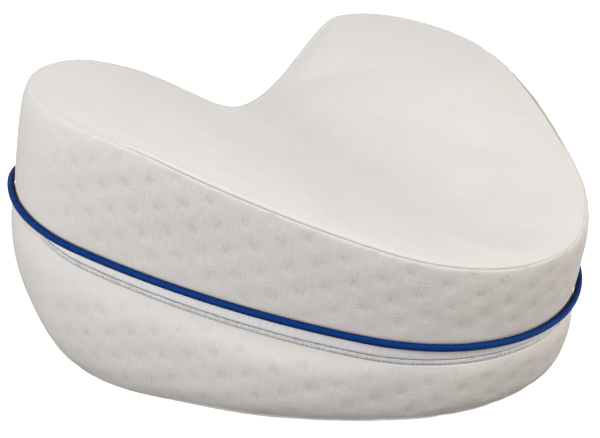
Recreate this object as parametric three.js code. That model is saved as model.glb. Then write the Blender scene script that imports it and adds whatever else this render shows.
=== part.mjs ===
// Knee pillow: a heart-shaped filled cushion with a saddle on both faces, sewn panels, a cord and a zip.
// Millimetres, +Z up. Sections are worked out in the cushion's own frame: x across the lobes, y towards
// the notch, w up from the plane of the cord. The whole is then tilted to rest on its lower face.
import * as THREE from "three";

// Overall size and rest
const TILT_DEG = 12; // the plane of the cord rises towards the notch
const CORD_PLANE_HEIGHT = 58.6; // over the floor, on the tilt axis
const TILT_SIN = Math.sin(THREE.MathUtils.degToRad(TILT_DEG));
const TILT_COS = Math.cos(THREE.MathUtils.degToRad(TILT_DEG));

// Half outline at the cord, from the tip round one lobe: tangent arcs, each cut into equal steps
const TIP_Y = -119.3;
const OUTLINE_ARCS = [
  { name: "tip", radius: 93, sweepDeg: 51, steps: 7 },
  { name: "flank", radius: 338, sweepDeg: 21.6, steps: 6 },
  { name: "shoulder", radius: 73, sweepDeg: 53, steps: 7 },
  { name: "lobe end", radius: 37, sweepDeg: 82.6, steps: 9 },
];
const NOTCH_STEPS = 6; // the hollow arc of the notch closes the outline on the centre line

// Faces: valley and crest distances from the plane of the cord
const SLOPE_START_Y = 5; // both faces fall from here towards the tip
const SLOPE_LENGTH = 118;
const CREST_HALF_WIDTH = 88;
const CREST_SHARE = 0.92; // of the half width where the cushion narrows
const VALLEY_ROUNDING = 0.25; // share of the crest's half width
const FACES = {
  upper: { valley: 20, valleyTip: 33, crest: 51, crestTip: 33, crestPower: 1.1, endDrop: 2.5, crown: 2.2 },
  lower: { valley: 20, valleyTip: 40, crest: 66, crestTip: 50, crestPower: 1, endDrop: 14, crown: 1.5 },
};
const VALLEY_POWER = 1.5;
const END_DROP_FROM_Y = 25; // the lobes' ends round off past here
const END_DROP_LENGTH = 75;
const CROWN_POWER = 10;

// Walls: how far each seam lies inside the cord's outline, and the roundness of the way there
const WALL_SET_IN = 1.5; // the walls beside the cord
const UPPER_WALL = { inset: 6, lobeInset: 2, power: 3.2, lobePower: 3 };
const LOWER_WALL = { inset: 5.5, lobeInset: 21, power: 2.6, lobePower: 1.8 };
const LOBE_INSET_CENTRE_DEG = 132;
const LOBE_INSET_SPREAD_DEG = 26;
const WALL_ANGLES_DEG = [6, 16, 28, 41, 54, 67, 79, 90];
const FOOT_WIDTH = 3; // flat border outside the lower seam

// Cord and its groove
const CORD_RADIUS = 1.6;
const CORD_SIDES = 8;
const GROOVE_RADIUS = 2.1;
const GROOVE_EDGE = Math.sqrt(GROOVE_RADIUS ** 2 - WALL_SET_IN ** 2); // height of the groove's lips
const GROOVE_BED_DEG = 17;

// Sewn panels
const PANEL_THICKNESS = 2.5;
const SEAM_LIP = 1.2;
const GAP = 0.3;
const FACE_GAP = 0.42; // upright distance that leaves the gap on the slopes too
const PANEL_FLOOR_CLEARANCE = 0.8;
const RING_SCALES = [0.93, 0.84, 0.73, 0.6, 0.46, 0.31, 0.16];

// Zip under the cord, round the tip from shoulder to shoulder
const ZIP = { lastStep: 15, recess: 3.1, thickness: 1.1, channelEnd: 8.9, foldStep: 0.15 };
const TAPE = { from: 2.3, to: 6.3, setIn: 1.7, meetsCord: true };
const COIL = { from: 6.62, to: 8.55, setIn: 1.4, meetsCord: false };
const ZIP_FLANK_DROP = 1.3; // the zip hangs lower along the flanks
const ZIP_END_LIFT = 2.6; // and runs up to the cord at both ends
const ZIP_END_STEPS = 3;

const COLOURS = { cloth: 0xe4e2de, panel: 0xeae8e3, cord: 0x0d3782, tape: 0xe6e6ec, coil: 0xcfd0d6 };

// Outline at the cord as points with outward normals, tip first, anticlockwise from above
function cordOutline() {
  const half = [{ x: 0, y: TIP_Y, heading: 0 }];
  let [x, y, heading] = [0, TIP_Y, 0];
  const walk = (radius, sweep, steps) => {
    const [cx, cy] = [x - radius * Math.sin(heading), y + radius * Math.cos(heading)];
    for (let k = 1; k <= steps; k++) {
      const a = heading + (sweep * k) / steps;
      half.push({ x: cx + radius * Math.sin(a), y: cy - radius * Math.cos(a), heading: a });
    }
    ({ x, y, heading } = half[half.length - 1]);
  };
  for (const arc of OUTLINE_ARCS) walk(arc.radius, THREE.MathUtils.degToRad(arc.sweepDeg), arc.steps);
  const past = heading - Math.PI;
  walk(-x / Math.sin(past), -past, NOTCH_STEPS);
  const last = half.length - 1;
  half[last].x = 0;
  const right = half.map((p) => ({ x: p.x, y: p.y, nx: Math.sin(p.heading), ny: -Math.cos(p.heading) }));
  const left = right.slice(1, last).reverse();
  return [...right, ...left.map((p) => ({ x: -p.x, y: p.y, nx: -p.nx, ny: p.ny }))];
}

const OUTLINE = cordOutline();
const POINT_COUNT = OUTLINE.length;
const WIDEST_Y = OUTLINE.reduce((best, p) => (p.x > best.x ? p : best)).y;

// Half width of the cushion at y, on the flanks; past the widest place it stays at its largest
function flankHalfWidth(y) {
  const limit = Math.min(y, WIDEST_Y);
  for (let i = 1; i < POINT_COUNT; i++) {
    const [a, b] = [OUTLINE[i - 1], OUTLINE[i]];
    if (b.y >= limit) return a.x + ((b.x - a.x) * Math.max(0, limit - a.y)) / (b.y - a.y);
  }
  return CREST_HALF_WIDTH;
}

// Distance of a face from the plane of the cord
function faceDistance(face, x, y) {
  const down = Math.max(0, (SLOPE_START_Y - y) / SLOPE_LENGTH);
  const end = Math.max(0, (y - END_DROP_FROM_Y) / END_DROP_LENGTH);
  const valley = face.valley + (face.valleyTip - face.valley) * down ** VALLEY_POWER;
  const slope = (face.crestTip - face.crest) * down ** face.crestPower;
  const crest = face.crest + slope - face.endDrop * end ** 2;
  const halfWidth = Math.min(CREST_HALF_WIDTH, CREST_SHARE * flankHalfWidth(y));
  const across = halfWidth > 0 ? Math.abs(x) / halfWidth : 1;
  const soften = (share) => Math.hypot(share, VALLEY_ROUNDING) - VALLEY_ROUNDING;
  const rise = Math.sin((Math.PI / 2) * Math.min(1, soften(across) / soften(1)));
  return valley + (crest - valley) * rise;
}

const upperDistance = (x, y) => faceDistance(FACES.upper, x, y);

const floorDistance = (y, clearance = 0) => (CORD_PLANE_HEIGHT + TILT_SIN * y - clearance) / TILT_COS;
const lowerDistance = (x, y) => Math.min(faceDistance(FACES.lower, x, y), floorDistance(y));

// A point set in from the outline along its normal
const setIn = (point, distance) => ({ x: point.x - distance * point.nx, y: point.y - distance * point.ny });

function lobeShare(index) {
  const p = OUTLINE[index];
  const deg = Math.abs(THREE.MathUtils.radToDeg(Math.atan2(p.x, -p.y)));
  return Math.exp(-(((deg - LOBE_INSET_CENTRE_DEG) / LOBE_INSET_SPREAD_DEG) ** 2));
}
const seamInset = (wall, index) => wall.inset + wall.lobeInset * lobeShare(index);

const stepsFromTip = (index) => Math.min(index, POINT_COUNT - index);
const hasZip = (index) => stepsFromTip(index) <= ZIP.lastStep;

// How much lower than at the tip the zip runs at a step of the outline
function zipDrop(index) {
  const share = Math.min(1, stepsFromTip(index) / ZIP.lastStep);
  const end = Math.max(0, (stepsFromTip(index) - ZIP.lastStep) / ZIP_END_STEPS + 1);
  return ZIP_FLANK_DROP * Math.sin(Math.PI * share) ** 2 - ZIP_END_LIFT * Math.min(1, end) ** 2;
}

// Rings of points: each ring is one closed row round the outline
const ring = (pointAt) => OUTLINE.map((p, i) => pointAt(p, i));

function wallRing(wall, sign, angleDeg, extraInset) {
  const a = THREE.MathUtils.degToRad(angleDeg);
  return ring((p, i) => {
    const power = wall.power + (wall.lobePower - wall.power) * lobeShare(i);
    const up = Math.sin(a) ** (2 / power);
    const inward = 1 - Math.max(0, Math.cos(a)) ** (2 / power);
    const reach = seamInset(wall, i) - extraInset - WALL_SET_IN;
    const start = sign > 0 ? GROOVE_EDGE : ZIP.channelEnd + ZIP.foldStep + zipDrop(i);
    const at = setIn(p, WALL_SET_IN + reach * inward);
    const full = sign > 0 ? upperDistance(at.x, at.y) : lowerDistance(at.x, at.y);
    return [at.x, at.y, sign * (start + (full - start) * up)];
  });
}

// Ring on a face at a share of the way from the centre to the seam; drop is the distance below the cloth
function faceRing(sign, scale, drop, margin = SEAM_LIP) {
  const wall = sign > 0 ? UPPER_WALL : LOWER_WALL;
  const face = sign > 0 ? FACES.upper : FACES.lower;
  return ring((p, i) => {
    const edge = setIn(p, seamInset(wall, i) + margin);
    const [x, y] = [edge.x * scale, edge.y * scale];
    const crown = face.crown * (1 - scale ** CROWN_POWER);
    const raw = faceDistance(face, x, y) + crown;
    if (sign > 0) return [x, y, raw - drop];
    return [x, y, -(Math.min(raw, floorDistance(y, PANEL_FLOOR_CLEARANCE)) - drop)];
  });
}

const distance = (p, q) => Math.hypot(p[0] - q[0], p[1] - q[1], p[2] - q[2]);

// Closed body from rings: its ends are closed by centre points, or joined to each other where there are none.
// Each four-sided cell is split along its shorter diagonal, so that neighbouring sheets split alike.
function solidOfRings(name, rings, centres, material) {
  const positions = [];
  const faces = [];
  for (const row of rings) positions.push(...row.flatMap((p) => place(p)));
  const count = rings[0].length;
  for (let r = 0; r + 1 < rings.length; r++) {
    for (let i = 0; i < count; i++) {
      const next = (i + 1) % count;
      const [a, b] = [r * count + i, r * count + next];
      const [low, high] = [rings[r], rings[r + 1]];
      const risingIsShorter = distance(low[i], high[next]) < distance(low[next], high[i]);
      if (risingIsShorter) faces.push(a, b, b + count, a, b + count, a + count);
      else faces.push(a, b, a + count, b, b + count, a + count);
    }
  }
  if (centres) {
    const first = rings.length * count;
    positions.push(...place(centres[0]), ...place(centres[1]));
    const top = (rings.length - 1) * count;
    for (let i = 0; i < count; i++) {
      const next = (i + 1) % count;
      faces.push(first, next, i);
      faces.push(first + 1, top + i, top + next);
    }
  } else {
    const last = (rings.length - 1) * count;
    for (let i = 0; i < count; i++) {
      const next = (i + 1) % count;
      faces.push(last + i, last + next, next, last + i, next, i);
    }
  }
  const geometry = new THREE.BufferGeometry();
  geometry.setAttribute("position", new THREE.Float32BufferAttribute(positions, 3));
  geometry.setIndex(faces);
  geometry.computeVertexNormals();
  const mesh = new THREE.Mesh(geometry, material);
  mesh.name = name;
  return mesh;
}

// From the cushion's own frame to the frame in which it rests
function place([x, y, w]) {
  const z = CORD_PLANE_HEIGHT + TILT_SIN * y + TILT_COS * w;
  return [x, TILT_COS * y - TILT_SIN * w, Math.abs(z) < 1e-6 ? 0 : z];
}

const material = (color, roughness) => new THREE.MeshStandardMaterial({ color, roughness, metalness: 0 });

// Filled cushion, from the centre of the lower face out, up the walls and in over the upper face
function filledCushion() {
  const cut = PANEL_THICKNESS + FACE_GAP;
  const grooveRing = (distanceIn, height) =>
    ring((p) => {
      const at = setIn(p, distanceIn);
      return [at.x, at.y, height];
    });
  const bed = THREE.MathUtils.degToRad(GROOVE_BED_DEG);
  const bedRing = (side) => grooveRing(GROOVE_RADIUS * Math.cos(bed), side * GROOVE_RADIUS * Math.sin(bed));
  const channelRing = (depth, openSetIn, followsZip) =>
    ring((p, i) => {
      const at = setIn(p, hasZip(i) ? openSetIn : WALL_SET_IN);
      return [at.x, at.y, -(depth + (followsZip ? zipDrop(i) : 0))];
    });
  const lipRing = (sign, margin) => {
    const wall = sign > 0 ? UPPER_WALL : LOWER_WALL;
    return ring((p, i) => {
      const at = setIn(p, seamInset(wall, i) + margin);
      return [at.x, at.y, sign > 0 ? upperDistance(at.x, at.y) : -lowerDistance(at.x, at.y)];
    });
  };
  const rings = [
    ...RING_SCALES.map((s) => faceRing(-1, s, cut)).reverse(),
    faceRing(-1, 1, cut),
    lipRing(-1, SEAM_LIP),
    lipRing(-1, 0),
    ...WALL_ANGLES_DEG.map((a) => wallRing(LOWER_WALL, -1, a, FOOT_WIDTH)).reverse(),
    channelRing(ZIP.channelEnd + ZIP.foldStep, WALL_SET_IN, true),
    channelRing(ZIP.channelEnd, ZIP.recess, true),
    channelRing(GROOVE_EDGE, ZIP.recess, false),
    bedRing(-1),
    bedRing(1),
    grooveRing(WALL_SET_IN, GROOVE_EDGE),
    ...WALL_ANGLES_DEG.map((a) => wallRing(UPPER_WALL, 1, a, 0)),
    lipRing(1, SEAM_LIP),
    faceRing(1, 1, cut),
    ...RING_SCALES.map((s) => faceRing(1, s, cut)),
  ];
  const upperCentre = FACES.upper.valley + FACES.upper.crown - cut;
  const lowerCentre = FACES.lower.valley + FACES.lower.crown - cut;
  const centres = [[0, 0, -lowerCentre], [0, 0, upperCentre]];
  return solidOfRings("filled_cushion", rings, centres, material(COLOURS.cloth, 0.9));
}

// Sewn panel of one face, a sheet of even upright thickness
function sewnPanel(name, sign) {
  const rows = (drop) => [
    faceRing(sign, 1, drop, SEAM_LIP + GAP),
    ...RING_SCALES.map((s) => faceRing(sign, s, drop)),
  ];
  const [outer, inner] = [rows(0), rows(PANEL_THICKNESS)];
  const face = sign > 0 ? FACES.upper : FACES.lower;
  const outerCentre = [0, 0, sign * (face.valley + face.crown)];
  const innerCentre = [0, 0, sign * (face.valley + face.crown - PANEL_THICKNESS)];
  const rings = sign > 0 ? [...inner.reverse(), ...outer] : [...outer.reverse(), ...inner];
  const centres = sign > 0 ? [innerCentre, outerCentre] : [outerCentre, innerCentre];
  return solidOfRings(name, rings, centres, material(COLOURS.panel, 0.88));
}

// Cord sewn in round the middle seam
function piping() {
  const rings = Array.from({ length: CORD_SIDES }, (_, k) => {
    const a = ((k + 0.5) / CORD_SIDES) * 2 * Math.PI;
    return ring((p) => {
      const at = setIn(p, -CORD_RADIUS * Math.cos(a));
      return [at.x, at.y, CORD_RADIUS * Math.sin(a)];
    });
  });
  return solidOfRings("piping", rings, null, material(COLOURS.cord, 0.45));
}

// Strip of the zip, bent round the wall from one shoulder to the other
function zipStrip(name, strip, color) {
  const span = Array.from({ length: 2 * ZIP.lastStep + 1 }, (_, k) => k - ZIP.lastStep);
  const stations = span.map((k) => (k + POINT_COUNT) % POINT_COUNT);
  const rings = stations.map((index) => {
    const from = strip.from + (strip.meetsCord ? 0 : zipDrop(index));
    const to = strip.to + zipDrop(index);
    const front = setIn(OUTLINE[index], strip.setIn);
    const back = setIn(OUTLINE[index], strip.setIn + ZIP.thickness);
    return [
      [front.x, front.y, -from],
      [front.x, front.y, -to],
      [back.x, back.y, -to],
      [back.x, back.y, -from],
    ];
  });
  const centreOf = (row) => row[0].map((_, axis) => row.reduce((sum, p) => sum + p[axis], 0) / row.length);
  const centres = [centreOf(rings[0]), centreOf(rings[rings.length - 1])];
  return solidOfRings(name, rings, centres, material(color, 0.6));
}

const group = new THREE.Group();
group.name = "knee_pillow";
group.add(
  filledCushion(),
  sewnPanel("top_panel", 1),
  sewnPanel("bottom_panel", -1),
  piping(),
  zipStrip("zip_tape", TAPE, COLOURS.tape),
  zipStrip("zip_coil", COIL, COLOURS.coil),
);

// The origin is on the floor, under the middle of the whole
const middle = new THREE.Box3().setFromObject(group).getCenter(new THREE.Vector3());
for (const mesh of group.children) mesh.geometry.translate(-middle.x, -middle.y, 0);
export default group;
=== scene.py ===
# Knee pillow: the looks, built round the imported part. The cushion's sections are worked out in its own
# frame in millimetres (x across the lobes, y towards the notch, w up from the plane of the cord), as the
# part's are, and are then placed in the part's frame in metres.
import math

import bmesh
import bpy
import numpy as np
from mathutils import Matrix, Vector, noise


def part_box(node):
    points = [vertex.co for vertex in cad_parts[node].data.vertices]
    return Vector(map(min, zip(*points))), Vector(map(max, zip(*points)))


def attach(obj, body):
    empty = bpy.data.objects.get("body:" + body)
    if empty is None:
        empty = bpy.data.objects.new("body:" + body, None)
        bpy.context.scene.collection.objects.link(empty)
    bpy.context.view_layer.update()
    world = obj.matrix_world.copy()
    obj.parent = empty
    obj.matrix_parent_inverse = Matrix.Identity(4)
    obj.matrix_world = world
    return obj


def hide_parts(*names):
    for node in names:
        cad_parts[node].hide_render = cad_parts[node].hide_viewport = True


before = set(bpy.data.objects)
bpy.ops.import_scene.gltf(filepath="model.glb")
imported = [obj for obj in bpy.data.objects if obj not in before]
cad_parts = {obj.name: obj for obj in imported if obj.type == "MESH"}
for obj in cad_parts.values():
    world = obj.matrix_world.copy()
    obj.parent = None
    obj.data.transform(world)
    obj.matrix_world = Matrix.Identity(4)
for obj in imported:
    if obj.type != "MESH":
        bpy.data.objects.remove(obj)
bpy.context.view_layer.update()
scene = bpy.context.scene

# Rest and outline of the cushion
MM = 0.001
TILT = math.radians(12)
CORD_PLANE_HEIGHT = 58.6
TIP_Y = -119.3
OUTLINE_ARCS = (
    # name, radius, sweep in degrees, zip steps, cuts in each step
    ("tip", 93, 51, 7, 2),
    ("flank", 338, 21.6, 6, 3),
    ("shoulder", 73, 53, 7, 2),
    ("lobe end", 37, 82.6, 9, 1),
)
NOTCH_STEPS, NOTCH_CUTS = 6, 2

# Faces: distances of valley and crest from the plane of the cord
SLOPE_START_Y, SLOPE_LENGTH = 5, 118
CREST_HALF_WIDTH, CREST_SHARE, VALLEY_ROUNDING = 88, 0.92, 0.25
VALLEY_POWER, END_DROP_FROM_Y, END_DROP_LENGTH = 1.5, 25, 75
# Below, *_at are arc lengths from the tip, negative to the left: how far in the seam lies, how square the
# wall's shoulder is, how far the wall bulges out and how strongly its seam is drawn in
UPPER = dict(sign=1, valley=20, valley_tip=33, crest=51, crest_tip=33, crest_power=1.1, end_drop=2.5,
             crown=2.2, crown_power=24, seam_lift=1.0,
             wall_at=(-408, -350, -300, -215, -165, 0, 60, 180, 300, 350, 408),
             inset=(9, 6, 7.5, 5, 3.5, 3.5, 7, 8, 7, 3, 9),
             power=(3, 3.2, 3.4, 3.6, 4, 4, 2.7, 2.7, 3, 3.2, 3),
             bulge=(0,) * 11,
             seam_at=(-215, -160, -30, 15, 100, 125, 160, 215),
             seam_shows=(0.05, 1, 0.9, 0.05, 0.05, 0.8, 1, 0.05))
LOWER = dict(sign=-1, valley=20, valley_tip=40, crest=66, crest_tip=50, crest_power=1, end_drop=14,
             crown=1.5, crown_power=10, seam_lift=0,
             wall_at=(-408, -350, -300, -260, -170, -120, -60, 0, 60, 90, 170, 260, 300, 350, 408),
             inset=(6, 20, 33, 33, 5, 2, 6.5, 7, 4, 3.5, 5, 33, 33, 20, 6),
             power=(2.6, 2.4, 2.3, 2.3, 2.8, 3, 2.6, 2.5, 2.9, 2.8, 2.7, 2.3, 2.3, 2.4, 2.6),
             bulge=(0, 1, 1, 1.5, 5, 6.5, 1.5, 1.5, 3, 4.5, 4, 2, 1.5, 1, 0),
             seam_at=(-170, -130, -20, 20, 130, 170),
             seam_shows=(0.1, 0.7, 0.6, 0.3, 0.5, 0.1))
WALL_SET_IN = 1.5
FOOT_WIDTH = 3
FLOOR_CLEARANCE = 0.4

# Cord, groove and zip
CORD_RADIUS = 1.6
GROOVE_RADIUS = 2.1
GROOVE_EDGE = math.sqrt(GROOVE_RADIUS ** 2 - WALL_SET_IN ** 2)
ZIP_LAST_STEP, ZIP_RECESS, ZIP_CHANNEL_END = 15, 3.1, 9.05
ZIP_FLANK_DROP, ZIP_END_LIFT, ZIP_END_STEPS = 1.3, 2.6, 3
TOOTH_PITCH = 1.15

# Jacquard marks: the two steps from one mark to the next, along the cord and away from it
MARK_STEP_A = (10.5, 4.85)
MARK_STEP_B = (-5.25, 9.7)
MARK_AT = {1: (-142.6, 23.3), -1: (-124.9, -26.7)}   # one mark above the cord and one below it

STAGE_SIZE = 6.0


def linear(code):
    """sRGB hex to linear RGBA."""
    parts = [int(code[i:i + 2], 16) / 255 for i in (1, 3, 5)]
    return (*[c / 12.92 if c <= 0.04045 else ((c + 0.055) / 1.055) ** 2.4 for c in parts], 1.0)


# Outline and faces, as in the part

def cord_outline(refine=1):
    """Rows of x, y, outward normal, arc length from the tip and zip step, round the whole outline."""
    x, y, heading, along, step = 0.0, float(TIP_Y), 0.0, 0.0, 0.0
    half = [(x, y, heading, along, step)]

    def walk(radius, sweep, steps, cuts):
        x, y, heading, along, step = half[-1]
        cx, cy = x - radius * math.sin(heading), y + radius * math.cos(heading)
        for k in range(1, steps * cuts + 1):
            part = k / (steps * cuts)
            a = heading + sweep * part
            half.append((cx + radius * math.sin(a), cy - radius * math.cos(a), a,
                         along + abs(radius * sweep) * part, step + steps * part))

    for _, radius, sweep, steps, cuts in OUTLINE_ARCS:
        walk(radius, math.radians(sweep), steps, cuts * refine)
    past = half[-1][2] - math.pi
    walk(-half[-1][0] / math.sin(past), -past, NOTCH_STEPS, NOTCH_CUTS * refine)
    right = np.array([(x, y, math.sin(a), -math.cos(a), s, k) for x, y, a, s, k in half])
    right[-1, 0] = 0
    left = right[1:-1][::-1] * (-1, 1, -1, 1, -1, 1)
    return np.vstack([right, left])


OUTLINE = cord_outline()
FINE_OUTLINE = cord_outline(refine=4)
BY_LENGTH = FINE_OUTLINE[np.argsort(FINE_OUTLINE[:, 4])]
HALF_LENGTH = OUTLINE[:, 4].max()
FLANK = FINE_OUTLINE[:np.argmax(FINE_OUTLINE[:, 0]) + 1, :2]   # from the tip to where it is widest


def rounded(share):
    """A share of the way from the valley to the crest, flattened in the valley's bed."""
    return np.hypot(share, VALLEY_ROUNDING) - VALLEY_ROUNDING


def face_distance(face, x, y):
    """How far the face lies from the plane of the cord at points of that plane."""
    down = np.maximum(0, (SLOPE_START_Y - y) / SLOPE_LENGTH)
    end = np.maximum(0, (y - END_DROP_FROM_Y) / END_DROP_LENGTH)
    valley = face["valley"] + (face["valley_tip"] - face["valley"]) * down ** VALLEY_POWER
    slope = (face["crest_tip"] - face["crest"]) * down ** face["crest_power"]
    crest = face["crest"] + slope - face["end_drop"] * end ** 2
    flank = np.interp(y, FLANK[:, 1], FLANK[:, 0])
    half_width = np.maximum(1e-6, np.minimum(CREST_HALF_WIDTH, CREST_SHARE * flank))
    share = rounded(np.abs(x) / half_width) / rounded(1)
    rise = np.sin(math.pi / 2 * np.minimum(1, share))
    return valley + (crest - valley) * rise


def floor_distance(y, clearance=0.0):
    """How far the floor lies below the plane of the cord."""
    return (CORD_PLANE_HEIGHT + math.sin(TILT) * y - clearance) / math.cos(TILT)


def surface_distance(face, x, y, clearance=0.0):
    """How far the seam's surface lies from the plane of the cord; the floor cuts the lower one off."""
    raw = face_distance(face, x, y) + face["seam_lift"]
    return raw if face["sign"] > 0 else np.minimum(raw, floor_distance(y, clearance))


def set_in(points, distance):
    """Points of the outline moved in, square to it."""
    return points[:, :2] - np.asarray(distance).reshape(-1, 1) * points[:, 2:4]


def eased(lengths, stations, values):
    """Values at arc lengths from the tip, each easing into the next."""
    stations, values = np.array(stations, float), np.array(values, float)
    k = np.clip(np.searchsorted(stations, lengths, "right") - 1, 0, len(stations) - 2)
    share = np.clip((lengths - stations[k]) / (stations[k + 1] - stations[k]), 0, 1)
    return values[k] + (values[k + 1] - values[k]) * (1 - np.cos(math.pi * share)) / 2


def seam_inset(face, points):
    return eased(points[:, 4], face["wall_at"], face["inset"])


def outline_at(lengths):
    """Rows of the outline at arc lengths from the tip, negative to the left."""
    return np.column_stack([np.interp(lengths, BY_LENGTH[:, 4], BY_LENGTH[:, k]) for k in range(6)])


def seam_show(face, lengths):
    """How strongly the face's seam is drawn in at arc lengths from the tip."""
    return eased(lengths, face["seam_at"], face["seam_shows"])


def zip_drop(steps):
    """How far the zip sags from the cord's line, at steps from the tip; it rises to its ends."""
    share = np.minimum(1, steps / ZIP_LAST_STEP)
    end = np.clip((steps - ZIP_LAST_STEP) / ZIP_END_STEPS + 1, 0, 1)
    return ZIP_FLANK_DROP * np.sin(math.pi * share) ** 2 - ZIP_END_LIFT * end ** 2


def place(points, shift=0.0):
    """From the cushion's own frame in millimetres to the part's frame in metres."""
    x, y, w = np.moveaxis(np.asarray(points, float), -1, 0)
    z = CORD_PLANE_HEIGHT + math.sin(TILT) * y + math.cos(TILT) * w
    return np.stack([x, math.cos(TILT) * y - math.sin(TILT) * w + shift, z], axis=-1) * MM


def at_height(flat, height):
    """Points of the cord's plane, lifted off it."""
    return np.column_stack([flat, np.broadcast_to(height, len(flat))])


cord_low, cord_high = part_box("piping")
cord_middle = place(at_height(FINE_OUTLINE[:, :2], 0.0))[:, 1]
SHIFT_Y = ((cord_low.y + cord_high.y) - (cord_middle.min() + cord_middle.max())) / 2 / MM


# Making pieces

def sort_by_place(bm):
    """Puts the mesh in an order of its own, because an extrusion adds its faces in another order each run."""
    for k, v in enumerate(sorted(bm.verts, key=lambda v: v.co[:])):
        v.index = k
    bm.verts.sort()
    for elements in (bm.edges, bm.faces):
        for k, element in enumerate(sorted(elements, key=lambda e: sorted(v.index for v in e.verts))):
            element.index = k
        elements.sort()


def new_piece(name, bm, material, replaced):
    """Makes a mesh a piece of the part that stands for one of its nodes."""
    mesh = bpy.data.meshes.new(name)
    bm.to_mesh(mesh)
    bm.free()
    ends = np.zeros(len(mesh.edges) * 2, int)
    mesh.edges.foreach_get("vertices", ends)
    mesh.edges.foreach_set("vertices", np.sort(ends.reshape(-1, 2), axis=1).ravel())
    piece = bpy.data.objects.new(name, mesh)
    scene.collection.objects.link(piece)
    mesh.materials.append(material)
    mesh.shade_smooth()
    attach(piece, "root")
    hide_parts(replaced)
    return piece


def loft(rings, cloth_uv, close_ends=False):
    """A skin through rings of points. Each ring is extruded from the one before it, point for point.
    cloth_uv holds the u and v of each point, in metres of cloth."""
    count = len(rings[0])
    bm = bmesh.new()
    station = bm.verts.layers.int.new("station")
    row = bm.verts.layers.int.new("row")
    verts = bmesh.ops.create_circle(bm, cap_ends=False, segments=count, radius=1)["verts"]
    for k, v in enumerate(verts):
        v[station] = k
        v.co = rings[0][k]
    first = edges = bm.edges[:]
    for r, ring in enumerate(rings[1:], 1):
        made = bmesh.ops.extrude_edge_only(bm, edges=edges)["geom"]
        verts = {g for g in made if isinstance(g, bmesh.types.BMVert)}
        edges = [g for g in made if isinstance(g, bmesh.types.BMEdge) and set(g.verts) <= verts]
        for v in verts:
            v[row] = r
            v.co = ring[v[station]]
    if close_ends:
        for ends in (first, edges):
            cap = bmesh.ops.contextual_create(bm, geom=ends)["faces"]
            bmesh.ops.poke(bm, faces=cap)
    bmesh.ops.recalc_face_normals(bm, faces=bm.faces[:])
    # On the strip that closes the round, u runs on past the end instead of falling back to its start
    uv = bm.loops.layers.uv.new("cloth")
    for face in bm.faces:
        at = [cloth_uv[loop.vert[row]][loop.vert[station]] for loop in face.loops]
        furthest = max(p[0] for p in at)
        for loop, p in zip(face.loops, at):
            behind = furthest - p[0] > HALF_LENGTH * MM
            loop[uv].uv = (p[0] + 2 * HALF_LENGTH * MM * behind, p[1])
    sort_by_place(bm)
    return bm


def coordinates(mesh):
    co = np.zeros(len(mesh.vertices) * 3)
    mesh.vertices.foreach_get("co", co)
    return co.reshape(-1, 3)


def normals(mesh):
    n = np.zeros(len(mesh.vertices) * 3)
    mesh.vertices.foreach_get("normal", n)
    return n.reshape(-1, 3)


def cloth_position(mesh):
    """The cloth's u and v at each vertex, in millimetres."""
    corner = np.zeros(len(mesh.loops), int)
    mesh.loops.foreach_get("vertex_index", corner)
    uv = np.zeros(len(mesh.loops) * 2)
    mesh.uv_layers["cloth"].data.foreach_get("uv", uv)
    at = np.zeros((len(mesh.vertices), 2))
    at[corner] = uv.reshape(-1, 2)
    return at / MM


CLOTH_STEPS, CLOTH_MASS, SWELL_FRAMES = 4, 0.15, 20
STRETCH_STIFFNESS, BEND_STIFFNESS = 12, 2
SWELL_PRESSURE, SWELL_CAP = 4.0, 0.0012


def swell(piece, held):
    """Cloth pressure between the sewn lines. held is how firmly each vertex is held, from 0 to 1, and no
    vertex ends further than about SWELL_CAP metres from where it was."""
    group = piece.vertex_groups.new(name="sewn")
    for k, weight in enumerate(held):
        if weight > 0:
            group.add([k], float(weight), "REPLACE")
    cloth = piece.modifiers.new("cloth", "CLOTH")
    settings = cloth.settings
    settings.quality = CLOTH_STEPS
    settings.mass = CLOTH_MASS
    settings.tension_stiffness = STRETCH_STIFFNESS
    settings.compression_stiffness = STRETCH_STIFFNESS
    settings.shear_stiffness = STRETCH_STIFFNESS
    settings.bending_stiffness = BEND_STIFFNESS
    settings.effector_weights.gravity = 0
    settings.use_pressure = True
    settings.uniform_pressure_force = SWELL_PRESSURE
    settings.vertex_group_mass = group.name
    for step in range(1, SWELL_FRAMES + 1):
        scene.frame_set(step)
    swollen = piece.evaluated_get(bpy.context.evaluated_depsgraph_get()).data
    before = coordinates(piece.data)
    move = coordinates(swollen) - before
    length = np.maximum(np.linalg.norm(move, axis=1, keepdims=True), 1e-9)
    piece.modifiers.remove(cloth)
    piece.vertex_groups.remove(group)
    scene.frame_set(1)
    after = before + move / length * SWELL_CAP * np.tanh(length / SWELL_CAP)
    piece.data.vertices.foreach_set("co", after.ravel())
    piece.data.update()


def subdivide(piece, levels):
    """Smooths the piece with a subdivision surface and keeps the result as its mesh."""
    smooth = piece.modifiers.new("smooth", "SUBSURF")
    smooth.levels = smooth.render_levels = levels
    depsgraph = bpy.context.evaluated_depsgraph_get()
    mesh = bpy.data.meshes.new_from_object(piece.evaluated_get(depsgraph), depsgraph=depsgraph)
    piece.modifiers.remove(smooth)
    old, piece.data = piece.data, mesh
    mesh.name = piece.name
    bpy.data.meshes.remove(old)
    mesh.shade_smooth()


MARKS_TO_CELLS = np.linalg.inv(np.array([MARK_STEP_A, MARK_STEP_B]).T)


def mark_offset(at):
    """From the nearest mark of the jacquard to each point of the cloth, in millimetres."""
    cells = at @ MARKS_TO_CELLS.T
    cells -= np.round(cells)
    return cells @ np.array([MARK_STEP_A, MARK_STEP_B])


DIMPLE_RADIUS = 2.6
UNEVEN_SIZE = 0.022
SMALL_UNEVEN, SMALL_SHARE = 0.45 * UNEVEN_SIZE, 0.35


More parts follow.
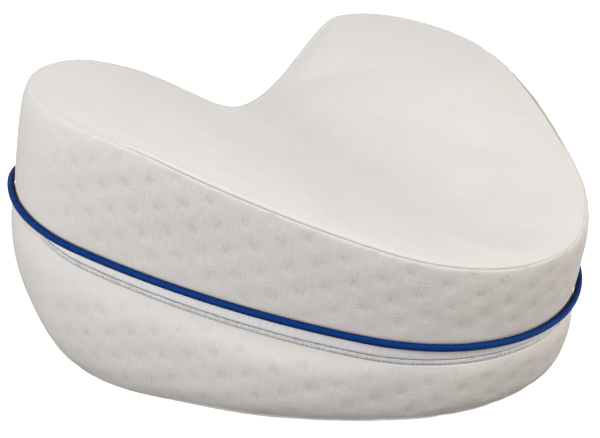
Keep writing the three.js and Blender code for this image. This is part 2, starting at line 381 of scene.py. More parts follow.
def emboss(piece, depth, unevenness):
    """Sinks a dimple at each jacquard mark, puffs the cloth between them a little and leaves it
    slightly uneven, all along the normals, in millimetres."""
    mesh = piece.data
    co = coordinates(mesh)
    show = np.zeros(len(mesh.vertices))
    mesh.attributes["shown"].data.foreach_get("value", show)
    away = np.linalg.norm(mark_offset(cloth_position(mesh)), axis=1)
    dimple = np.exp(-((away / DIMPLE_RADIUS) ** 2))
    wavy = np.array([noise.noise(Vector(p) / UNEVEN_SIZE)
                     + SMALL_SHARE * noise.noise(Vector(p) / SMALL_UNEVEN) for p in co])
    move = show * (-depth * dimple + unevenness * wavy)
    co += normals(mesh) * (move * MM)[:, None]
    mesh.vertices.foreach_set("co", co.ravel())
    mesh.update()


# Camera

CAMERA_AIM = Vector((-0.00674, -0.00009, 0.0466))
CAMERA_AZIMUTH, CAMERA_ELEVATION, CAMERA_ROLL = -46.087, 20.176, 1.343
CAMERA_DISTANCE = 0.60479
PHOTO_WIDTH, PHOTO_HEIGHT = 600, 438
FOCAL_PIXELS, AXIS_X_PIXELS, AXIS_Y_PIXELS = 1287.8, 341.8, 239.4
SENSOR_WIDTH = 36.0


def direction(azimuth, elevation):
    """Towards a viewpoint or a light; azimuth 0 is the front, and the left is negative."""
    a, e = math.radians(azimuth), math.radians(elevation)
    return Vector((math.sin(a) * math.cos(e), -math.cos(a) * math.cos(e), math.sin(e)))


def make_camera():
    lens = bpy.data.cameras.new("camera")
    lens.sensor_width = SENSOR_WIDTH
    lens.lens = FOCAL_PIXELS / PHOTO_WIDTH * SENSOR_WIDTH
    lens.shift_x = (PHOTO_WIDTH / 2 - AXIS_X_PIXELS) / PHOTO_WIDTH
    lens.shift_y = (AXIS_Y_PIXELS - PHOTO_HEIGHT / 2) / PHOTO_WIDTH
    lens.clip_start = 0.01
    camera = bpy.data.objects.new("camera", lens)
    scene.collection.objects.link(camera)
    back = direction(CAMERA_AZIMUTH, CAMERA_ELEVATION)
    level = (-back).to_track_quat("-Z", "Y").to_matrix()
    turn = Matrix.Rotation(math.radians(CAMERA_ROLL), 3, "Z")
    camera.matrix_world = (level @ turn).to_4x4()
    camera.location = CAMERA_AIM + back * CAMERA_DISTANCE
    scene.camera = camera


# Materials

def add(tree, kind, links=None, out=0, **settings):
    """Adds a node and gives one of its outputs. links maps an input's name or number to a socket or to
    a value."""
    made = tree.nodes.new(kind)
    for key, value in settings.items():
        setattr(made, key, value)
    for key, value in (links or {}).items():
        if isinstance(value, bpy.types.NodeSocket):
            tree.links.new(value, made.inputs[key])
        else:
            made.inputs[key].default_value = value
    return made.outputs[out]


def shader_of(name):
    material = bpy.data.materials.new(name)
    material.use_nodes = True
    return material, material.node_tree, material.node_tree.nodes["Principled BSDF"]


STROKE_PITCH, STROKE_STEP_DOWN = 1.0, 0.2
MARK_WIDTH, MARK_HEIGHT = 4.6, 3.8
RIB_PITCH = 1.2   # the knit's own ribs are about 0.4 mm apart, drawn coarser so that they show
FUZZ_SIZE = 0.7   # likewise coarser than the fibres


def jacquard_knit():
    """White polyester double jersey with small marks knitted in: soft and matt, each mark a few short
    sunk strokes in a staircase, faint upright ribs between them, and a slight fuzz that scatters light."""
    material, tree, shader = shader_of("white_jacquard_knit")
    metres = add(tree, "ShaderNodeUVMap", uv_map="cloth")
    cloth = add(tree, "ShaderNodeVectorMath", {0: metres, "Scale": 1 / MM}, operation="SCALE")
    shown = add(tree, "ShaderNodeAttribute", out=2, attribute_name="shown")
    along = add(tree, "ShaderNodeVectorMath", {0: cloth, 1: (*MARKS_TO_CELLS[0], 0)}, out=1,
                operation="DOT_PRODUCT")
    upward = add(tree, "ShaderNodeVectorMath", {0: cloth, 1: (*MARKS_TO_CELLS[1], 0)}, out=1,
                 operation="DOT_PRODUCT")
    cell = add(tree, "ShaderNodeCombineXYZ", {0: along, 1: upward})
    middle = (0.5, 0.5, 0.5)
    moved = add(tree, "ShaderNodeVectorMath", {0: cell, 1: middle}, operation="ADD")
    share = add(tree, "ShaderNodeVectorMath", {0: moved}, operation="FRACTION")
    offset = add(tree, "ShaderNodeVectorMath", {0: share, 1: middle}, operation="SUBTRACT")
    across = add(tree, "ShaderNodeVectorMath", {0: offset, 1: (MARK_STEP_A[0], MARK_STEP_B[0], 0)}, out=1,
                 operation="DOT_PRODUCT")
    above = add(tree, "ShaderNodeVectorMath", {0: offset, 1: (MARK_STEP_A[1], MARK_STEP_B[1], 0)}, out=1,
                operation="DOT_PRODUCT")
    # Strokes side by side, stepping down a little from each to the next, within the mark's soft edge
    angle = add(tree, "ShaderNodeMath", {0: across, 1: 2 * math.pi / STROKE_PITCH}, operation="MULTIPLY")
    strokes = add(tree, "ShaderNodeMath", {0: angle}, operation="COSINE")
    stepped = add(tree, "ShaderNodeMath", {0: across, 1: STROKE_STEP_DOWN / STROKE_PITCH, 2: above},
                  operation="MULTIPLY_ADD")
    beside = add(tree, "ShaderNodeMath", {0: across}, operation="ABSOLUTE")
    beyond = add(tree, "ShaderNodeMath", {0: stepped}, operation="ABSOLUTE")
    narrow = add(tree, "ShaderNodeMapRange", {"Value": beside, "From Min": MARK_WIDTH * 0.35,
                                              "From Max": MARK_WIDTH * 0.6, "To Min": 1.0, "To Max": 0.0},
                 interpolation_type="SMOOTHSTEP")
    short = add(tree, "ShaderNodeMapRange", {"Value": beyond, "From Min": MARK_HEIGHT * 0.3,
                                             "From Max": MARK_HEIGHT * 0.6, "To Min": 1.0, "To Max": 0.0},
                interpolation_type="SMOOTHSTEP")
    drawn = add(tree, "ShaderNodeMath", {0: narrow, 1: short}, operation="MULTIPLY")
    patchy = add(tree, "ShaderNodeTexNoise", {"Vector": cloth, "Scale": 1 / 9, "Detail": 2.0})
    firm = add(tree, "ShaderNodeMapRange", {"Value": patchy, "From Min": 0.35, "From Max": 0.65,
                                            "To Min": 0.45, "To Max": 1.0})
    worked = add(tree, "ShaderNodeMath", {0: drawn, 1: firm}, operation="MULTIPLY")
    mark = add(tree, "ShaderNodeMath", {0: worked, 1: shown}, operation="MULTIPLY")
    sunk = add(tree, "ShaderNodeMath", {0: mark, 1: strokes}, operation="MULTIPLY")
    # Upright ribs, uneven along their length, and the fuzz
    rib_place = add(tree, "ShaderNodeMapping", {"Vector": cloth,
                                                "Scale": (1 / RIB_PITCH, 1 / (RIB_PITCH * 5), 1)})
    ribs = add(tree, "ShaderNodeTexNoise", {"Vector": rib_place, "Scale": 1.0, "Detail": 1.0})
    course_place = add(tree, "ShaderNodeMapping", {"Vector": cloth,
                                                   "Scale": (1 / (RIB_PITCH * 4), 1 / (RIB_PITCH * 0.8), 1)})
    courses = add(tree, "ShaderNodeTexNoise", {"Vector": course_place, "Scale": 1.0, "Detail": 1.0})
    fuzz = add(tree, "ShaderNodeTexNoise", {"Vector": cloth, "Scale": 1 / FUZZ_SIZE, "Detail": 2.0})
    ribbed = add(tree, "ShaderNodeMath", {0: courses, 1: 0.6, 2: ribs}, operation="MULTIPLY_ADD")
    rough_knit = add(tree, "ShaderNodeMath", {0: fuzz, 1: 0.7, 2: ribbed}, operation="MULTIPLY_ADD")
    taut = add(tree, "ShaderNodeMath", {0: shown, 1: 0.8, 2: 0.2}, operation="MULTIPLY_ADD")
    relief = add(tree, "ShaderNodeMath", {0: taut, 1: 0.18}, operation="MULTIPLY")
    raised = add(tree, "ShaderNodeMath", {0: rough_knit, 1: relief}, operation="MULTIPLY")
    height = add(tree, "ShaderNodeMath", {0: sunk, 1: -0.1, 2: raised}, operation="MULTIPLY_ADD")
    tree.links.new(add(tree, "ShaderNodeBump", {"Height": height, "Strength": 1.0, "Distance": MM}),
                   shader.inputs["Normal"])
    # Yarn colour, a little warmer in places and darker between the ribs, with painted shade in the sunk
    # strokes and over each mark's dimple
    tinted = add(tree, "ShaderNodeTexNoise", {"Vector": cloth, "Scale": 1 / 30, "Detail": 1.0})
    yarn = add(tree, "ShaderNodeMix", {0: tinted, 6: linear("#E8E6E4"), 7: linear("#E6E2DD")}, out=2,
               data_type="RGBA")
    between = add(tree, "ShaderNodeMapRange", {"Value": ribbed, "From Min": 0.5, "From Max": 1.1,
                                               "To Min": 0.3, "To Max": 0.0})
    ribs_seen = add(tree, "ShaderNodeMath", {0: between, 1: taut}, operation="MULTIPLY")
    marked = add(tree, "ShaderNodeMath", {0: mark, 1: 0.10, 2: ribs_seen}, operation="MULTIPLY_ADD")
    # painted shade: darker in the sunk strokes and over the whole of each mark
    shade = add(tree, "ShaderNodeMath", {0: sunk, 1: 0.14, 2: marked}, operation="MULTIPLY_ADD",
                use_clamp=True)
    open_cloth = add(tree, "ShaderNodeMix", {0: shade, 6: yarn, 7: linear("#D0C5B9")}, out=2,
                     data_type="RGBA")
    # Painted shade: the cloth in the seams' grooves and on the zip channel's ledge is darkened
    painted_seam_shade = add(tree, "ShaderNodeAttribute", out=2, attribute_name="painted_seam_shade")
    cloth_colour = add(tree, "ShaderNodeMix", {0: painted_seam_shade, 6: open_cloth, 7: linear("#C9C3B8")}, out=2,
                       data_type="RGBA")
    tree.links.new(cloth_colour, shader.inputs["Base Color"])
    shader.inputs["Roughness"].default_value = 0.92
    shader.inputs["Specular IOR Level"].default_value = 0.2
    shader.inputs["Sheen Weight"].default_value = 0.15
    shader.inputs["Sheen Roughness"].default_value = 0.5
    return material


TWILL_PITCH = 1.1   # satin's own twill is about 0.3 mm apart, drawn coarser so that it shows
PUCKER_LENGTH = 5.0


def blue_satin():
    """Royal blue polyester satin, cut on the bias and sewn over a cord, with slight puckers along its length.
    Its colour carries a painted, broken highlight along the middle and painted shade, nearly black blue,
    below and where it turns in to the seam."""
    material, tree, shader = shader_of("blue_satin_bias_strip")
    metres = add(tree, "ShaderNodeUVMap", uv_map="cloth")
    cloth = add(tree, "ShaderNodeVectorMath", {0: metres, "Scale": 1 / MM}, operation="SCALE")
    twill_place = add(tree, "ShaderNodeMapping", {"Vector": cloth, "Rotation": (0, 0, math.radians(45)),
                                                  "Scale": (1 / TWILL_PITCH, 0.3 / TWILL_PITCH, 1)})
    twill = add(tree, "ShaderNodeTexNoise", {"Vector": twill_place, "Scale": 1.0, "Detail": 1.0})
    pucker_place = add(tree, "ShaderNodeMapping", {"Vector": cloth,
                                                   "Scale": (1 / PUCKER_LENGTH, 0.2 / PUCKER_LENGTH, 1)})
    puckers = add(tree, "ShaderNodeTexNoise", {"Vector": pucker_place, "Scale": 1.0, "Detail": 2.0})
    height = add(tree, "ShaderNodeMath", {0: puckers, 1: 3.0, 2: twill}, operation="MULTIPLY_ADD")
    tree.links.new(add(tree, "ShaderNodeBump", {"Height": height, "Strength": 1.0, "Distance": 0.18 * MM}),
                   shader.inputs["Normal"])
    # Painted light: lightest where the cord faces out and up, broken by the twill, falling to painted shade
    # below and where it turns in
    around = add(tree, "ShaderNodeSeparateXYZ", {0: cloth}, out=1)
    turned = add(tree, "ShaderNodeMath", {0: around, 1: 1 / CORD_RADIUS}, operation="MULTIPLY")
    facing = add(tree, "ShaderNodeMath", {0: turned}, operation="COSINE")
    outward = add(tree, "ShaderNodeMapRange", {"Value": facing, "From Min": -0.5, "From Max": 0.65},
                  interpolation_type="SMOOTHSTEP")
    mottle = add(tree, "ShaderNodeMath", {0: twill, 1: 1.2, 2: 0.45}, operation="MULTIPLY_ADD")
    upward = add(tree, "ShaderNodeMath", {0: turned}, operation="SINE")
    painted_light_above = add(tree, "ShaderNodeMapRange", {"Value": upward, "From Min": -0.75, "From Max": 0.75,
                                             "To Min": 0.1}, interpolation_type="SMOOTHSTEP")
    open_face = add(tree, "ShaderNodeMath", {0: outward, 1: painted_light_above}, operation="MULTIPLY")
    bright = add(tree, "ShaderNodeMath", {0: open_face, 1: mottle}, operation="MULTIPLY", use_clamp=True)
    surface_colour = add(tree, "ShaderNodeMix", {0: bright, 6: linear("#000F38"), 7: linear("#04387E")}, out=2,
               data_type="RGBA")
    tree.links.new(surface_colour, shader.inputs["Base Color"])
    shader.inputs["Roughness"].default_value = 0.5
    shader.inputs["Specular IOR Level"].default_value = 0.06
    return material


RIB_OF_TAPE = 1.0   # the tape's ribs are about 0.5 mm apart, drawn coarser so that they show


def white_tape():
    """White polyester zip tape, woven in a close herringbone: matt, flat and a little cooler than
    the knit."""
    material, tree, shader = shader_of("white_woven_zip_tape")
    metres = add(tree, "ShaderNodeUVMap", uv_map="cloth")
    cloth = add(tree, "ShaderNodeVectorMath", {0: metres, "Scale": 1 / MM}, operation="SCALE")
    place_of_ribs = add(tree, "ShaderNodeMapping", {"Vector": cloth,
                                                    "Scale": (1 / RIB_OF_TAPE, 0.3 / RIB_OF_TAPE, 1)})
    ribs = add(tree, "ShaderNodeTexNoise", {"Vector": place_of_ribs, "Scale": 1.0, "Detail": 1.0})
    tree.links.new(add(tree, "ShaderNodeBump", {"Height": ribs, "Strength": 1.0, "Distance": 0.2 * MM}),
                   shader.inputs["Normal"])
    dark = add(tree, "ShaderNodeMapRange", {"Value": ribs, "From Min": 0.3, "From Max": 0.6,
                                            "To Min": 0.5, "To Max": 0.0})
    woven = add(tree, "ShaderNodeMix", {0: dark, 6: linear("#FAF9FA"), 7: linear("#E8E7EA")}, out=2,
                data_type="RGBA")
    tree.links.new(woven, shader.inputs["Base Color"])
    shader.inputs["Roughness"].default_value = 0.85
    shader.inputs["Specular IOR Level"].default_value = 0.25
    return material


def white_nylon():
    """White nylon monofilament, coiled and heat set: smooth, slightly glossy, greyer where it is worn."""
    material, tree, shader = shader_of("white_nylon_coil")
    place_on = add(tree, "ShaderNodeTexCoord", out=3)
    worn = add(tree, "ShaderNodeTexNoise", {"Vector": place_on, "Scale": 1 / (3 * MM), "Detail": 2.0})
    tone = add(tree, "ShaderNodeMapRange", {"Value": worn, "From Min": 0.3, "From Max": 0.7})
    surface_colour = add(tree, "ShaderNodeMix", {0: tone, 6: linear("#D4D4D6"), 7: linear("#EAEAEC")}, out=2,
               data_type="RGBA")
    tree.links.new(surface_colour, shader.inputs["Base Color"])
    tree.links.new(add(tree, "ShaderNodeBump", {"Height": worn, "Strength": 1.0, "Distance": 0.05 * MM}),
                   shader.inputs["Normal"])
    shader.inputs["Roughness"].default_value = 0.4
    shader.inputs["IOR"].default_value = 1.53
    return material


knit = jacquard_knit()
satin = blue_satin()
tape_cloth = white_tape()
nylon = white_nylon()


# Floor and light

LIGHT_DISTANCE, LIGHT_WIDTH = 1.2, 0.8


def area_light(name, azimuth, elevation, power, colour="#FFFFFF"):
    lamp = bpy.data.lights.new(name, "AREA")
    lamp.shape = "DISK"
    lamp.size = LIGHT_WIDTH
    lamp.energy = power
    lamp.color = linear(colour)[:3]
    light = bpy.data.objects.new(name, lamp)
    scene.collection.objects.link(light)
    towards = direction(azimuth, elevation)
    light.location = towards * LIGHT_DISTANCE
    light.rotation_euler = towards.to_track_quat("Z", "Y").to_euler()


make_camera()

# A sheet of white acrylic lit from behind: an even white, with only a trace of shadow at the cushion's foot
backlit, tree, shader = shader_of("backlit_white_acrylic")
shader.inputs["Base Color"].default_value = linear("#F4F4F4")
shader.inputs["Roughness"].default_value = 0.8
shader.inputs["Emission Color"].default_value = linear("#FFFFFF")
shader.inputs["Emission Strength"].default_value = 0.75
bm = bmesh.new()
bmesh.ops.create_grid(bm, x_segments=1, y_segments=1, size=STAGE_SIZE / 2)
floor_mesh = bpy.data.meshes.new("floor")
bm.to_mesh(floor_mesh)
bm.free()
floor = bpy.data.objects.new("floor", floor_mesh)
floor_mesh.materials.append(backlit)
scene.collection.objects.link(floor)
floor.visible_diffuse = False

# A room that is white above and dim and warm below; the camera itself sees plain white
SKY_STRENGTH, GROUND_STRENGTH = 0.4, 0.03
world = bpy.data.worlds.new("studio")
world.use_nodes = True
room = world.node_tree
towards = add(room, "ShaderNodeTexCoord")
upward = add(room, "ShaderNodeSeparateXYZ", {0: towards}, out=2)
above_floor = add(room, "ShaderNodeMapRange", {"Value": upward, "From Min": -0.15, "From Max": 0.15})
strength = add(room, "ShaderNodeMapRange", {"Value": above_floor, "To Min": GROUND_STRENGTH,
                                            "To Max": SKY_STRENGTH})
tone = add(room, "ShaderNodeMix", {0: above_floor, 6: linear("#FFD9BC"), 7: linear("#FFFFFF")}, out=2,
           data_type="RGBA")
lighting = add(room, "ShaderNodeBackground", {"Color": tone, "Strength": strength})
backdrop = add(room, "ShaderNodeBackground", {"Color": linear("#FFFFFF"), "Strength": 1.0})
seen = add(room, "ShaderNodeLightPath")
both = add(room, "ShaderNodeMixShader", {0: seen, 1: lighting, 2: backdrop})
room.links.new(both, room.nodes["World Output"].inputs["Surface"])
scene.world = world
scene.view_settings.view_transform = "Standard"
area_light("left_box", -80, 22, 8.0)
area_light("upper_left_box", -125, 50, 1.5, "#F0F5FF")
area_light("right_box", 30, 26, 8.0, "#FFF9F3")
area_light("back_box", 150, 15, 4)


# Filled cushion

# Under the covers: how far in from the seam and how deep the skin lies, and its rings' shares of the outline
SEAM_LIP = 1.2
HIDDEN_DROP = 3.6
HIDDEN_SCALES = (1, 0.8, 0.5, 0.2)
GROOVE_BED = (-20, 20)   # the rings behind the cord, in degrees round it
# Path distance before the end of the wall, and distance out from it
UPPER_SEAM_RUN = ((2.4, 0.0), (1.2, 0.0), (0.4, 0.05))
LOWER_SEAM_RUN = ((4.0, 0.0), (2.7, 0.3), (2.1, 0.0), (1.7, -0.6), (1.2, -0.05), (0.5, 0.1))
# Inward from the wall's end, and out of the face: the cloth's turn into the seam
UPPER_TURN = ((0.15, -0.15), (0.4, -0.6), (0.55, -2.0))
LOWER_TURN = ((0.5, 0.0), (FOOT_WIDTH, 0.0), (FOOT_WIDTH + 0.6, -0.15), (FOOT_WIDTH + 1.0, -1.4))
WALL_RINGS = 8
BEYOND_SEAM = 50   # the cloth's v where the wall has turned in under the upper cover
# Arc lengths from the tip, and how slack the walls' cloth is there: the lobes pull it taut
SLACK = (0, 190, 260, 350, 408), (1, 1, 0.3, 0.35, 0.6)
PROFILE_POINTS = 80
SLOPE_REACH = 0.3   # how far ahead and behind the profile's slope is taken


def wall_profile(face, foot, start):
    """Dense profile of the wall at each station, from the cord's side to the seam."""
    shares = np.linspace(0, 1, PROFILE_POINTS) ** 2
    power = eased(OUTLINE[:, 4], face["wall_at"], face["power"])
    bulge = eased(OUTLINE[:, 4], face["wall_at"], face["bulge"])
    reach = seam_inset(face, OUTLINE) - foot - WALL_SET_IN
    rows = []
    for a in shares * math.pi / 2:
        risen = math.sin(a) ** (2 / power)
        inward = reach * (1 - np.maximum(0, math.cos(a)) ** (2 / power)) - bulge * (1 - (2 * risen - 1) ** 4)
        flat = set_in(OUTLINE, WALL_SET_IN + inward)
        full = surface_distance(face, flat[:, 0], flat[:, 1])
        rows.append(at_height(flat, face["sign"] * (start + (full - start) * risen)))
    return np.stack(rows)


def along_profile(face, profile, shares, run):
    """Rings at shares of the way to the seam's own run, then at the run's distances before the end."""
    show = seam_show(face, OUTLINE[:, 4])
    steps = np.linalg.norm(np.diff(profile, axis=0), axis=2)
    length = np.vstack([np.zeros(steps.shape[1]), np.cumsum(steps, axis=0)])
    total = length[-1]

    def point_at(k, distance):
        return np.array([np.interp(distance, length[:, k], profile[:, k, axis]) for axis in range(3)])

    rings = []
    lengths = [share * (total - run[0][0]) for share in shares] + [total - back for back, _ in run]
    outward = [0.0] * len(shares) + [out for _, out in run]
    for at, out in zip(lengths, outward):
        ring = np.empty((profile.shape[1], 3))
        for k in range(profile.shape[1]):
            tangent = point_at(k, at[k] + SLOPE_REACH) - point_at(k, at[k] - SLOPE_REACH)
            tangent /= max(np.linalg.norm(tangent), 1e-9)
            side = np.array([-OUTLINE[k, 3], OUTLINE[k, 2], 0]) * face["sign"]
            ring[k] = point_at(k, at[k]) + out * show[k] * np.cross(tangent, side)
        rings.append(ring)
    return rings, lengths


def face_ring(face, scale):
    """A ring of the skin under a cover, at a share of the outline's size."""
    edge = set_in(OUTLINE, seam_inset(face, OUTLINE) + SEAM_LIP) * scale
    raw = face_distance(face, edge[:, 0], edge[:, 1]) + face["crown"] * (1 - scale ** face["crown_power"])
    if face["sign"] < 0:
        raw = np.minimum(raw, floor_distance(edge[:, 1], FLOOR_CLEARANCE))
    return at_height(edge, face["sign"] * (raw - HIDDEN_DROP))


def seam_turn(face, foot, turn, depth):
    """Rings that carry the wall's cloth over the seam and down into it."""
    rows = []
    for inward, up in turn:
        flat = set_in(OUTLINE, seam_inset(face, OUTLINE) - foot + inward)
        up = up * depth
        rows.append(at_height(flat, face["sign"] * (surface_distance(face, flat[:, 0], flat[:, 1]) + up)))
    return rows


def make_cushion():
    """The filled body: one skin from the middle of the lower face, out and up its wall, in to the zip and
    the cord, up the upper wall and in to the middle of the upper face."""
    drop = zip_drop(OUTLINE[:, 5])
    zipped = OUTLINE[:, 5] <= ZIP_LAST_STEP
    open_in = np.where(zipped, ZIP_RECESS, WALL_SET_IN)
    shares = np.linspace(0, 1, WALL_RINGS + 1)[:-1]
    rows = []   # ring, v along the cloth, how firmly held, how much the pattern shows, the mark to start from

    def put(rings, sign, start, lengths=None, held=1.0, show=0.0):
        count = len(rings)
        lengths = np.zeros((count, 1)) if lengths is None else lengths
        held = np.broadcast_to(held, count)
        show = np.broadcast_to(show, count)
        for ring, length, firm, pattern in zip(rings, lengths, held, show):
            v = np.broadcast_to(sign * (start + length), len(OUTLINE))
            rows.append((ring, v, firm, pattern, MARK_AT[sign]))

    # Lower half, from the middle of the lower face out and up to the zip
    lower = wall_profile(LOWER, FOOT_WIDTH, ZIP_CHANNEL_END + drop)
    rings, lengths = along_profile(LOWER, lower, shares[1:], LOWER_SEAM_RUN)
    count, run = len(rings), len(LOWER_SEAM_RUN)
    held = [0.6] + [0.0] * (count - run - 2) + [0.5] + [1.0] * run
    show = [0.6] + [1.0] * (count - run - 1) + [0.6] * run
    put([face_ring(LOWER, scale) for scale in HIDDEN_SCALES[::-1]], -1, 0)
    put(seam_turn(LOWER, FOOT_WIDTH, LOWER_TURN[::-1], 1), -1, 0)
    put(rings[::-1], -1, ZIP_CHANNEL_END, lengths[::-1], held[::-1], show[::-1])
    # The cloth's fold beside the zip, and the channel up to the cord's groove
    edge = ZIP_CHANNEL_END + drop
    fold = [(WALL_SET_IN - 0.15, edge + 0.7), (WALL_SET_IN + 0.1, edge + 0.15),
            ((open_in + WALL_SET_IN) / 2, edge - 0.1), (open_in, edge),
            (open_in, np.full(len(OUTLINE), GROOVE_EDGE))]
    ledge = range(len(rows) + 2, len(rows) + 5)   # the channel's own rings, which lie in shade and get painted shade where zipped
    put([at_height(set_in(OUTLINE, inward), -depth) for inward, depth in fold], -1, ZIP_CHANNEL_END,
        show=[0.3, 0, 0, 0, 0])
    bed = [at_height(set_in(OUTLINE, GROOVE_RADIUS * math.cos(a)), GROOVE_RADIUS * math.sin(a))
           for a in map(math.radians, GROOVE_BED)]
    put(bed, 1, 0)
    # Upper half, from the cord up, over the seam and in under the top panel
    upper = wall_profile(UPPER, 0, np.full(len(OUTLINE), GROOVE_EDGE))
    rings, lengths = along_profile(UPPER, upper, shares, UPPER_SEAM_RUN)
    count, run = len(rings), len(UPPER_SEAM_RUN)
    held = [1.0, 0.4] + [0.0] * (count - run - 3) + [0.4] + [1.0] * run
    show = [0.5, 0.8] + [1.0] * (count - run - 2) + [0.8] * run
    put(rings, 1, GROOVE_EDGE, lengths, held, show)
    turn = seam_turn(UPPER, 0, UPPER_TURN, seam_show(UPPER, OUTLINE[:, 4]))
    turned = range(len(rows), len(rows) + len(turn))
    put(turn, 1, BEYOND_SEAM)
    put([face_ring(UPPER, scale) for scale in HIDDEN_SCALES], 1, BEYOND_SEAM)

    cloth_uv = [[((u - mark[0]) * MM, (v - mark[1]) * MM) for u, v in zip(OUTLINE[:, 4], lengths)]
                for _, lengths, _, _, mark in rows]
    bm = loft([place(ring, SHIFT_Y) for ring, *_ in rows], cloth_uv, close_ends=True)
    shown = bm.verts.layers.float.new("shown")
    painted_seam_shade = bm.verts.layers.float.new("painted_seam_shade")
    row_of = bm.verts.layers.int["row"]
    station_of = bm.verts.layers.int["station"]
    shows = seam_show(UPPER, OUTLINE[:, 4])
    slack = eased(np.abs(OUTLINE[:, 4]), *SLACK)
    held = []
    for vert in bm.verts:
        vert[shown] = rows[vert[row_of]][3] * slack[vert[station_of]]
        # painted shade on the cloth turned into the upper seam and on the ledge beside the zip
        if vert[row_of] in turned:
            vert[painted_seam_shade] = shows[vert[station_of]]
        elif vert[row_of] in ledge:
            vert[painted_seam_shade] = float(zipped[vert[station_of]])
        held.append(rows[vert[row_of]][2])
    piece = new_piece("cushion", bm, knit, "filled_cushion")
    swell(piece, held)
    subdivide(piece, 2)
    emboss(piece, depth=0.4, unevenness=0.5)


make_cushion()


# Sewn panels

PANEL_CELLS = 72
PANEL_EDGE_IN = 2.6
RIDGE_HEIGHT, RIDGE_WIDTH = 0.9, 5.0
# Inward from the seam, and up from it
PANEL_TURN = ((2.0, 0.85), (1.4, 0.6), (0.95, 0.1), (0.8, -0.7), (0.75, -2.0))
PANEL_CLOSED_BY = 0.45   # where the seam doesn't show, the panel's edge closes up to the wall
CLOTH_THICKNESS = 0.001
PANEL_SHOW = 0.3   # pulled flatter than the wall, so the marks nearly vanish
PATTERN_FADE = 8   # the pattern comes in over this distance from the edge
HELD_SHARE = 0.3   # and the cloth is held where less than this share of it shows
SHADED_BELOW = -0.5   # the turn's rows that lie deeper than this get the seam's painted shade


def seam_points(face, around, inward):
    """Points inward from the face's seam, at lengths round the outline from 0 to its whole length."""
    seam = set_in(FINE_OUTLINE, seam_inset(face, FINE_OUTLINE))
    rows = np.column_stack([seam, FINE_OUTLINE[:, 2:4]])
    rows = np.vstack([rows, rows[:1]])
    along = np.append(FINE_OUTLINE[:, 4] % (2 * HALF_LENGTH), 2 * HALF_LENGTH)
    found = np.column_stack([np.interp(around, along, rows[:, axis]) for axis in range(4)])
    return set_in(found, inward)


def shows_at(face, around):
    """seam_show at lengths round the outline from 0 to its whole length."""
    return seam_show(face, np.where(around > HALF_LENGTH, around - 2 * HALF_LENGTH, around))


def make_panel(name, face, replaced):
    """A cover over a face: a round grid laid over it, with its edge turned down into the seam."""
    bm = bmesh.new()
    bmesh.ops.create_grid(bm, x_segments=PANEL_CELLS, y_segments=PANEL_CELLS, size=1)
    around = bm.verts.layers.float.new("around")
    shown = bm.verts.layers.float.new("shown")
    painted_seam_shade = bm.verts.layers.float.new("painted_seam_shade")
    square = np.array([v.co[:2] for v in bm.verts])
    disk = square * np.sqrt(1 - square[:, ::-1] ** 2 / 2)
    radius = np.minimum(1, np.linalg.norm(disk, axis=1))
    s = (np.arctan2(disk[:, 0], -disk[:, 1]) % (2 * math.pi)) / math.pi * HALF_LENGTH
    edge = seam_points(face, s, PANEL_EDGE_IN)
    reach = np.linalg.norm(edge, axis=1)
    flat = edge * radius[:, None]
    from_edge = (1 - radius) * reach
    from_seam = from_edge + PANEL_EDGE_IN
    scale = np.maximum(0, 1 - from_seam / np.maximum(1e-6, reach + PANEL_EDGE_IN))
    crown = face["crown"] * (1 - scale ** face["crown_power"])
    ridge = RIDGE_HEIGHT * shows_at(face, s) * np.exp(-((from_seam / RIDGE_WIDTH) ** 2))
    height = face_distance(face, flat[:, 0], flat[:, 1]) + crown + ridge
    if face["sign"] < 0:
        height = np.minimum(height, floor_distance(flat[:, 1], FLOOR_CLEARANCE))
    placed = place(at_height(flat, face["sign"] * height), SHIFT_Y)
    for k, v in enumerate(bm.verts):
        v.co = placed[k]
        v[around] = s[k]
        v[shown] = PANEL_SHOW * min(1, from_edge[k] / PATTERN_FADE)
    edges = [e for e in bm.edges if e.is_boundary]
    for inward, up in PANEL_TURN:
        made = bmesh.ops.extrude_edge_only(bm, edges=edges)["geom"]
        verts = [g for g in made if isinstance(g, bmesh.types.BMVert)]
        edges = [g for g in made if isinstance(g, bmesh.types.BMEdge) and set(g.verts) <= set(verts)]
        lengths = np.array([v[around] for v in verts])
        shows = shows_at(face, lengths)
        row = seam_points(face, lengths, inward - PANEL_CLOSED_BY * (1 - shows))
        level = surface_distance(face, row[:, 0], row[:, 1], FLOOR_CLEARANCE)
        rise = up * shows if face["sign"] > 0 else min(up, 0)
        placed = place(at_height(row, face["sign"] * (level + rise)), SHIFT_Y)
        for v, point, show in zip(verts, placed, shows):
            v.co = point
            # painted shade on the edge's rows deep in the seam
            v[painted_seam_shade] = show if up < SHADED_BELOW else 0
    bmesh.ops.recalc_face_normals(bm, faces=bm.faces[:])
    middle = min(bm.faces, key=lambda f: f.calc_center_median().xy.length)
    if middle.normal.z * face["sign"] < 0:
        bmesh.ops.reverse_faces(bm, faces=bm.faces[:])
    uv = bm.loops.layers.uv.new("cloth")
    for f in bm.faces:
        for loop in f.loops:
            loop[uv].uv = loop.vert.co.xy
    sort_by_place(bm)
    held = [1.0 if v.is_boundary or v[shown] < HELD_SHARE * PANEL_SHOW else 0.0 for v in bm.verts]
    piece = new_piece(name, bm, knit, replaced)
    swell(piece, held)
    subdivide(piece, 1)
    emboss(piece, depth=0.5, unevenness=1.8)
    cloth = piece.modifiers.new("cloth", "SOLIDIFY")
    cloth.thickness = CLOTH_THICKNESS
    cloth.offset = -1
    return piece


top = make_panel("top_cover", UPPER, "top_panel")
bottom = make_panel("bottom_cover", LOWER, "bottom_panel")


# Cord

CORD_SIDES = 16


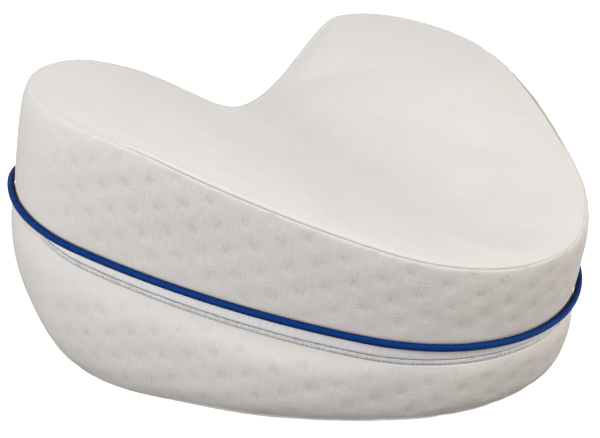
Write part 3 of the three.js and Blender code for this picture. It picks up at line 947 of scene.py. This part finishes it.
def make_piping():
    """The cord, as lengthwise rings round its section, the last one lying on the first."""
    rings, uvs = [], []
    u = FINE_OUTLINE[:, 4]
    for k in range(CORD_SIDES + 1):
        a = k / CORD_SIDES * 2 * math.pi
        flat = set_in(FINE_OUTLINE, -CORD_RADIUS * math.cos(a))
        rings.append(place(at_height(flat, CORD_RADIUS * math.sin(a)), SHIFT_Y))
        uvs.append([(s * MM, CORD_RADIUS * a * MM) for s in u])
    bm = loft(rings, uvs)
    bmesh.ops.remove_doubles(bm, verts=bm.verts[:], dist=1e-6)
    bmesh.ops.recalc_face_normals(bm, faces=bm.faces[:])
    new_piece("piping_cord", bm, satin, "piping")


make_piping()


# Zip

def zip_strip(section):
    """A strip along the zip, from a section like those below."""
    half = [k for k in range(len(FINE_OUTLINE) // 2) if FINE_OUTLINE[k, 5] <= ZIP_LAST_STEP]
    order = [(-k) % len(FINE_OUTLINE) for k in half[:0:-1]] + half
    rings, uvs = [], []
    for k in order:
        row = FINE_OUTLINE[k:k + 1]
        drop = zip_drop(row[:, 5])[0]
        points = [(*set_in(row, inward)[0], -(depth + follows * drop)) for inward, depth, follows in section]
        rings.append(place(points, SHIFT_Y))
        u = row[0, 4]
        uvs.append([(u * MM, -(depth + follows * drop) * MM) for _, depth, follows in section])
    return loft(rings, uvs, close_ends=True)


# Inward distance, depth under the cord, and how far the point follows the zip's drop
TAPE_SECTION = ((1.75, 2.3, 0), (1.62, 3.2, 0.2), (1.5, 4.3, 0.6), (1.5, 5.3, 0.9), (1.62, 6.0, 1),
                (1.85, 6.28, 1), (2.4, 6.3, 1), (2.8, 6.2, 1), (2.8, 4.3, 0.5), (2.8, 2.3, 0))
CHAIN_SECTION = ((1.8, 6.75, 1), (1.62, 7.1, 1), (1.58, 7.6, 1), (1.62, 8.1, 1), (1.8, 8.42, 1),
                 (2.5, 8.42, 1), (2.5, 6.75, 1))
TOOTH_LENGTH, TOOTH_WIDTH, TOOTH_THICKNESS = 1.7, 1.0, 0.5
TOOTH_SET_IN, TOOTH_DEPTH, TOOTH_SHIFT, TOOTH_ROUNDING = 1.6, 7.6, 0.06, 0.2
TEETH_STOP_SHORT = 2
ZIP_REACH = FINE_OUTLINE[FINE_OUTLINE[:, 5] <= ZIP_LAST_STEP, 4].max() - TEETH_STOP_SHORT


def add_teeth(bm):
    """The coil's turns, as bars side by side that stand a little up and a little down by turns."""
    to_part = (Matrix.Translation((0, SHIFT_Y * MM, CORD_PLANE_HEIGHT * MM)) @ Matrix.Rotation(TILT, 4, "X")
               @ Matrix.Scale(MM, 4))
    count = int(2 * ZIP_REACH / TOOTH_PITCH)
    lengths = np.linspace(-ZIP_REACH, ZIP_REACH, count)
    size = Matrix.Diagonal((TOOTH_WIDTH, TOOTH_THICKNESS, TOOTH_LENGTH, 1))
    edges = []
    for k, (x, y, across, back, _, step) in enumerate(outline_at(lengths)):
        out = Vector((across, back, 0)).normalized()
        depth = TOOTH_DEPTH + zip_drop(step) + TOOTH_SHIFT * (-1) ** k
        turn = Matrix((Vector((-out.y, out.x, 0)), out, Vector((0, 0, 1)))).transposed().to_4x4()
        at = Matrix.Translation(Vector((x, y, -depth)) - out * TOOTH_SET_IN)
        bar = bmesh.ops.create_cube(bm, size=1, matrix=to_part @ at @ turn @ size)["verts"]
        edges += {e for v in bar for e in v.link_edges}
    bmesh.ops.bevel(bm, geom=edges, offset=TOOTH_ROUNDING * MM, segments=1, affect="EDGES", profile=0.5,
                    material=-1)


new_piece("zip_tape_band", zip_strip(TAPE_SECTION), tape_cloth, "zip_tape")
bm = zip_strip(CHAIN_SECTION)
add_teeth(bm)
new_piece("zip_chain", bm, nylon, "zip_coil")
